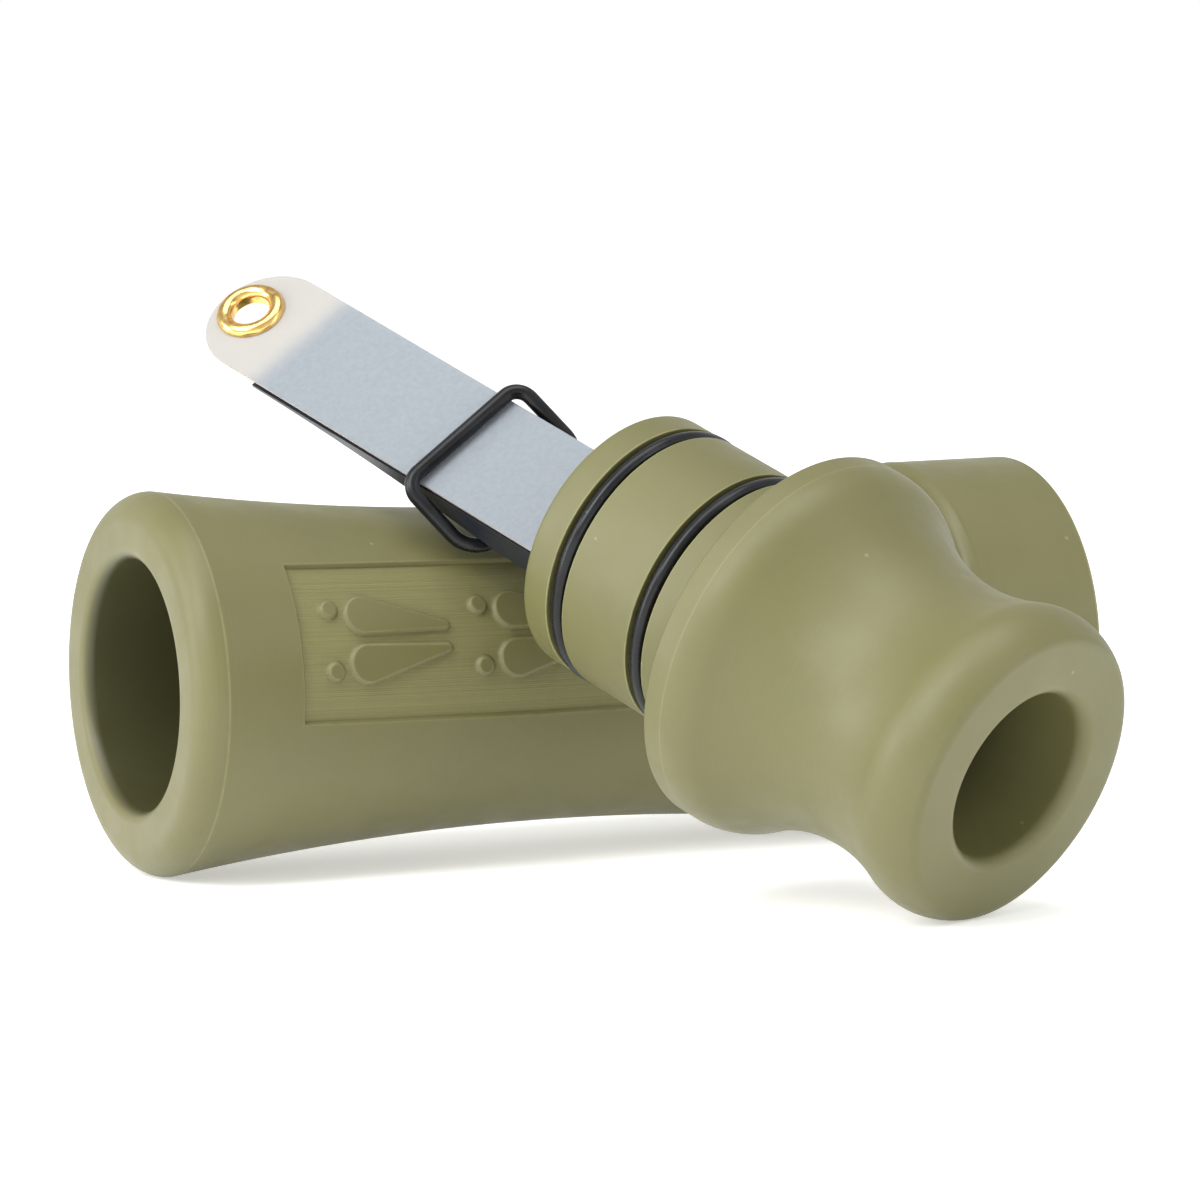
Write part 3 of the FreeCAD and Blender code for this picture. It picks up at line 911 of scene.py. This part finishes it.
def make_toneboard():
    base_half = math.sqrt(BOARD_RADIUS ** 2 - deck_height(0) ** 2)
    stations = [(BOARD_TIP, BOARD_HALF, False, False), (CHANNEL_TIP, BOARD_HALF, False, False)]
    for x in np.linspace(CHANNEL_TIP, 0, 52):
        stations.append((x, BOARD_HALF, False, True))
    stations += [(0.0, base_half, True, True), (ROOT, base_half, True, True)]
    rows = [board_section(*station) for station in stations]
    grid = np.array(rows).reshape(-1, 3)
    columns = len(rows[0])
    faces = []
    for i in range(len(rows) - 1):
        for j in range(columns):
            k = (j + 1) % columns
            here, beyond = i * columns, (i + 1) * columns
            faces.append((here + j, here + k, beyond + k, beyond + j))
    faces.append(tuple(range(columns))[::-1])
    faces.append(tuple((len(rows) - 1) * columns + j for j in range(columns)))
    extras = {"skin": grid.copy()}
    kind = ("black_polymer", POLYMER)
    board = add_mesh(
        "toneboard_trough", grid, faces, INSERT, "toneboard", ["toneboard"], *kind, extras
    )
    tidy = bmesh.new()
    tidy.from_mesh(board.data)
    bmesh.ops.remove_doubles(tidy, verts=tidy.verts, dist=1e-7)
    bmesh.ops.dissolve_degenerate(tidy, edges=tidy.edges, dist=1e-7)
    tidy.to_mesh(board.data)
    tidy.free()
    board.data.shade_smooth()
    finish_edges(board, BOARD_EDGE)


def make_wedge():
    limit = math.asin(WEDGE_FLOOR / BOARD_RADIUS)
    turn = np.linspace(limit, math.pi - limit, 49)
    rim = np.column_stack([BOARD_RADIUS * np.cos(turn), BOARD_RADIUS * np.sin(turn)])
    count = len(rim)
    grid = np.array([(x, y, z) for x in (WEDGE_FRONT, ROOT) for y, z in rim])
    faces = [(j, (j + 1) % count, count + (j + 1) % count, count + j) for j in range(count)]
    faces += [tuple(range(count)), tuple(range(2 * count - 1, count - 1, -1))]
    extras = {"skin": grid.copy()}
    kind = ("black_polymer", POLYMER)
    wedge = add_mesh(
        "reed_wedge_key", grid, faces, INSERT, "toneboard", ["reed_wedge"], *kind, extras
    )
    finish_edges(wedge, WEDGE_EDGE)


def reed_loops():
    """The strip's outline and its hole, as loops of points in the reed's plane."""
    tip_centre = REED_TIP + REED_HALF
    turn = np.linspace(math.pi / 2, 3 * math.pi / 2, 73)
    tip = np.column_stack([tip_centre + REED_HALF * np.cos(turn), REED_HALF * np.sin(turn)])
    side = np.linspace(tip_centre, ROOT, 41)[1:]
    low = np.column_stack([side, np.full(len(side), -REED_HALF)])
    high = np.column_stack([side[::-1], np.full(len(side), REED_HALF)])
    hole_turn = np.linspace(0, math.tau, 64, endpoint=False)
    round_hole = np.column_stack([np.cos(hole_turn), np.sin(hole_turn)])
    hole = (EYELET_X, 0) + (EYELET_TUBE + EYELET_HOLE_GAP) * round_hole
    return np.vstack([tip, low, high]), hole


def unit_rows(rows):
    return rows / np.linalg.norm(rows, axis=1)[:, None]


def inset_loop(loop, distance):
    """The loop moved inwards, to its left, by a distance."""
    ahead = np.roll(loop, -1, axis=0) - loop
    behind = loop - np.roll(loop, 1, axis=0)
    way = unit_rows(ahead) + unit_rows(behind)
    way = unit_rows(way)
    return loop + distance * np.column_stack([-way[:, 1], way[:, 0]])


def make_reed():
    strip, hole = reed_loops()
    bottom = REED_UNDERSIDE
    top = REED_UNDERSIDE + REED_THICKNESS
    edge = REED_EDGE
    levels = [(edge, bottom), (edge * 0.3, bottom + edge * 0.3), (0, bottom + edge)]
    levels += [(0, top - edge), (edge * 0.3, top - edge * 0.3), (edge, top)]
    mesh = bmesh.new()
    rims = []
    for loop in (strip, hole[::-1]):
        rings = []
        for inset, z in levels:
            moved = inset_loop(loop, inset)
            rings.append([mesh.verts.new((x, y, z)) for x, y in moved])
        for lower, upper in zip(rings, rings[1:]):
            for j in range(len(lower)):
                k = (j + 1) % len(lower)
                mesh.faces.new((lower[j], lower[k], upper[k], upper[j]))
        rims.append(rings)
    for level in (0, -1):
        edges = []
        for rings in rims:
            ring = rings[level]
            edges += [mesh.edges.get(pair) for pair in zip(ring, ring[1:] + ring[:1])]
        bmesh.ops.triangle_fill(mesh, use_beauty=True, use_dissolve=False, edges=edges)
    mesh.verts.ensure_lookup_table()
    mesh.verts.index_update()
    grid = np.array([tuple(v.co) for v in mesh.verts])
    faces = [[v.index for v in face.verts] for face in mesh.faces]
    mesh.free()
    # the strip's cut sides, marked for the painted glow in the film
    on_side = (grid[:, 2] > bottom + 0.5 * edge) & (grid[:, 2] < top - 0.5 * edge)
    extras = {"skin": grid.copy(), "worn": on_side.astype(float)}
    reed = add_mesh("reed_strip", grid, faces, INSERT, "reed", ["reed"], "frosted_film", FILM, extras)
    normal = INSERT.to_3x3() @ Vector((0, 0, 1))
    for polygon in reed.data.polygons:
        polygon.use_smooth = abs(polygon.normal.dot(normal)) < 0.99


def make_eyelet():
    """Rolled brass eyelet, turned about the reed's normal."""
    top = REED_UNDERSIDE + REED_THICKNESS
    back = REED_UNDERSIDE - EYELET_BACK_HEIGHT
    in_by, up_by = EYELET_BACK_MIDDLE
    middle = (EYELET_HOLE + EYELET_ROLL) / 2
    height = (EYELET_ROLL - EYELET_HOLE) / 2
    profile = outline(
        (back, EYELET_HOLE),
        (back, EYELET_BACK - EYELET_BACK_FLARE),
        ((back + up_by, EYELET_BACK - in_by), (REED_UNDERSIDE, EYELET_BACK)),
        (REED_UNDERSIDE, EYELET_TUBE),
        (top, EYELET_TUBE),
        (top, EYELET_ROLL),
        ((top + height, middle), (top, EYELET_HOLE)),
        step=EYELET_STEP,
    )
    grid, faces, extras = turned(profile)
    upright = np.column_stack([grid[:, 2] + EYELET_X, grid[:, 1], grid[:, 0]])
    add_mesh("eyelet_rolled", upright, faces, INSERT, "reed", ["eyelet"], "brass", BRASS, extras)


# ================================================================ tuning ring

def ring_line():
    """Closed centre line in the ring's plane, and its outward direction."""
    side = RING_HALF
    top_y, top_r = side - RING_TOP_ROUND, RING_TOP_ROUND
    low_y, low_r = side - RING_BOTTOM_ROUND, RING_BOTTOM_ROUND
    low_z = low_r - RING_DROP
    steps = [
        (top_y, 0),
        (on_circle((top_y, -top_r), top_r, 45), (side, -top_r)),
        (side, low_z),
        (on_circle((low_y, low_z), low_r, -45), (low_y, -RING_DROP)),
        (-low_y, -RING_DROP),
        (on_circle((-low_y, low_z), low_r, 225), (-side, low_z)),
        (-side, -top_r),
        (on_circle((-top_y, -top_r), top_r, 135), (-top_y, 0)),
    ]
    line = np.vstack([part[:-1] for part in stretches((0.0, 0.0), steps, 0.25)])
    way = np.roll(line, -1, axis=0) - np.roll(line, 1, axis=0)
    way /= np.linalg.norm(way, axis=1)[:, None]
    return line, np.column_stack([-way[:, 1], way[:, 0]])


def make_tuning_ring():
    line, outward = ring_line()
    turn = np.linspace(0, math.tau, 40, endpoint=False)
    flat = line[:, None, :] + RING_SECTION * np.cos(turn)[None, :, None] * outward[:, None, :]
    thick = np.broadcast_to(RING_SECTION * np.sin(turn), flat.shape[:2])
    tilt = math.radians(RING_TILT_DEG)
    drop = flat[..., 1]
    x = thick * math.cos(tilt) - drop * math.sin(tilt) + RING_X
    z = thick * math.sin(tilt) + drop * math.cos(tilt)
    z = z + REED_UNDERSIDE + REED_THICKNESS + RING_GAP + RING_SECTION
    grid = np.stack([x, flat[..., 0], z], axis=-1).reshape(-1, 3)
    faces = ring_faces(len(line), len(turn))
    extras = {"skin": grid.copy()}
    kind = ("black_rubber", RUBBER)
    add_mesh(
        "tuning_ring_band", grid, faces, INSERT, "tuning_ring", ["tuning_ring"], *kind, extras
    )


# ================================================================ studio

def plain_material(name, colour, roughness):
    n = Nodes(name)
    n.set(Base_Color=colour, Roughness=roughness, Specular_IOR_Level=0.1)
    return n.material


def make_floor():
    mesh = bpy.data.meshes.new("floor")
    corners = [(-1, -1), (1, -1), (1, 1), (-1, 1)]
    points = [(x * FLOOR_HALF, y * FLOOR_HALF, FLOOR_HEIGHT) for x, y in corners]
    mesh.from_pydata(points, [], [(0, 1, 2, 3)])
    paper = plain_material("floor_paper", (0.93, 0.93, 0.93, 1), 0.9)
    shader = paper.node_tree.nodes["Principled BSDF"]
    shader.inputs["Emission Color"].default_value = (1, 1, 1, 1)
    shader.inputs["Emission Strength"].default_value = FLOOR_GLOW
    mesh.materials.append(paper)
    floor = bpy.data.objects.new("floor", mesh)
    bpy.context.scene.collection.objects.link(floor)


def make_world():
    """White round the horizon, dimmer overhead, where the softboxes are."""
    world = bpy.data.worlds.new("studio")
    bpy.context.scene.world = world
    world.use_nodes = True
    tree = world.node_tree
    place = tree.nodes.new("ShaderNodeTexCoord")
    split = tree.nodes.new("ShaderNodeSeparateXYZ")
    fade = tree.nodes.new("ShaderNodeMapRange")
    for key, number in HORIZON_FADE.items():
        fade.inputs[key].default_value = number
    tree.links.new(place.outputs["Generated"], split.inputs[0])
    tree.links.new(split.outputs[2], fade.inputs["Value"])
    tree.links.new(fade.outputs[0], tree.nodes["Background"].inputs["Strength"])
    tree.nodes["Background"].inputs["Color"].default_value = (1, 1, 1, 1)


def add_softbox(name, side_deg, height_deg, distance, size, power):
    """Softbox aimed at the object: its side angle is from the camera, positive to the right."""
    heading = math.radians(-CAMERA_HEADING_DEG + 180 - side_deg)
    height = math.radians(height_deg)
    flat = distance * math.cos(height)
    up = distance * math.sin(height)
    place = Vector((flat * math.sin(heading), flat * math.cos(heading), up))
    light = bpy.data.lights.new(name, "AREA")
    light.shape = "RECTANGLE"
    light.size = size[0]
    light.size_y = size[1]
    light.energy = power
    lamp = bpy.data.objects.new(name, light)
    lamp.location = place
    lamp.rotation_euler = (Vector(AIM) - place).to_track_quat("-Z", "Y").to_euler()
    bpy.context.scene.collection.objects.link(lamp)


def make_studio():
    make_floor()
    make_world()
    for name, settings in SOFTBOXES.items():
        add_softbox(name, *settings)
    bpy.context.scene.view_settings.view_transform = "Standard"


def make_camera():
    data = bpy.data.cameras.new("camera")
    data.lens = CAMERA_LENS
    data.sensor_width = SENSOR_WIDTH
    camera = bpy.data.objects.new("camera", data)
    heading = Matrix.Rotation(math.radians(CAMERA_HEADING_DEG), 4, "Z")
    tip = Matrix.Rotation(math.radians(90 - CAMERA_DOWN_DEG), 4, "X")
    roll = Matrix.Rotation(math.radians(CAMERA_ROLL_DEG), 4, "Z")
    camera.matrix_world = Matrix.Translation(CAMERA_PLACE) @ heading @ tip @ roll
    bpy.context.scene.collection.objects.link(camera)
    bpy.context.scene.camera = camera


make_camera()
make_barrel()
make_mouthpiece()
make_orings()
make_toneboard()
make_wedge()
make_reed()
make_eyelet()
make_tuning_ring()
make_studio()
